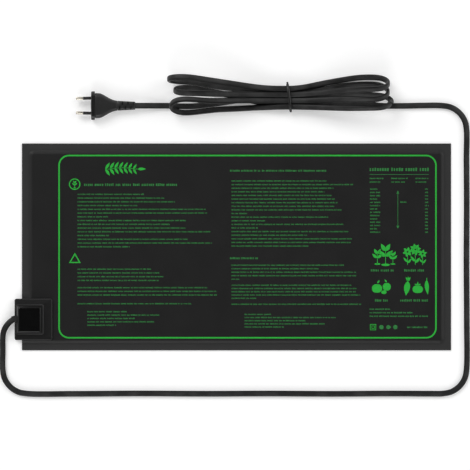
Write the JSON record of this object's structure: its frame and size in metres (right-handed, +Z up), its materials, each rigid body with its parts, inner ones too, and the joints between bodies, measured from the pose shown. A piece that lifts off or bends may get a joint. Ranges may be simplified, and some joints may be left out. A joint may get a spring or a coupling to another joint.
{
  "type": "seedling heat mat",
  "caption": "Thin rectangular laminated heating mat with a corner junction box, a flat mains flex tied in a hank and a moulded round-pin plug.",
  "frame": {"origin": "middle of the mat's underside, on the surface that it lies on", "axes": "+X along the mat's long side, away from the junction box; +Y across the mat, towards the tied hank and the plug; +Z up, out of the printed face"},
  "size_m": [0.5776, 0.3986, 0.0321],
  "materials": {
    "pvc_sheet": "satin",
    "foam": "matte",
    "foil": "satin",
    "wire_insulation": "satin",
    "box_plastic": "satin",
    "black_rubber": "matte",
    "zinc_steel": "satin",
    "core_brown": "satin",
    "core_blue": "satin",
    "flex_sheath": "satin",
    "hank_of_flex": "satin",
    "tie": "satin",
    "plug_moulding": "satin",
    "nickel_pin": "polished"
  },
  "bodies": {
    "root": {"bottom_sheet": "pvc_sheet", "top_sheet": "pvc_sheet", "foam_pad": "foam", "heat_foil": "foil", "heating_wire": "wire_insulation", "box_base": "box_plastic", "box_cover": "box_plastic", "box_seal": "black_rubber", "cord_bush": "black_rubber", "cord_clamp": "box_plastic", "clamp_screw_1": "zinc_steel", "clamp_screw_2": "zinc_steel", "cover_screw_1": "zinc_steel", "cover_screw_2": "zinc_steel", "cover_screw_3": "zinc_steel", "cover_screw_4": "zinc_steel", "crimp_live": "zinc_steel", "crimp_neutral": "zinc_steel", "lead_live": "core_brown", "lead_neutral": "core_blue", "cord_end": "flex_sheath", "cord_lead": "flex_sheath", "cord_tail": "flex_sheath", "cord_hank": "hank_of_flex", "hank_tie": "tie", "pin_carrier": "plug_moulding", "plug_body": "plug_moulding", "plug_relief": "plug_moulding", "pin_live": "nickel_pin", "pin_neutral": "nickel_pin", "pin_sleeve_live": "black_rubber", "pin_sleeve_neutral": "black_rubber", "pin_crimp_live": "zinc_steel", "pin_crimp_neutral": "zinc_steel", "plug_lead_live": "core_brown", "plug_lead_neutral": "core_blue"}
  },
  "joints": []
}
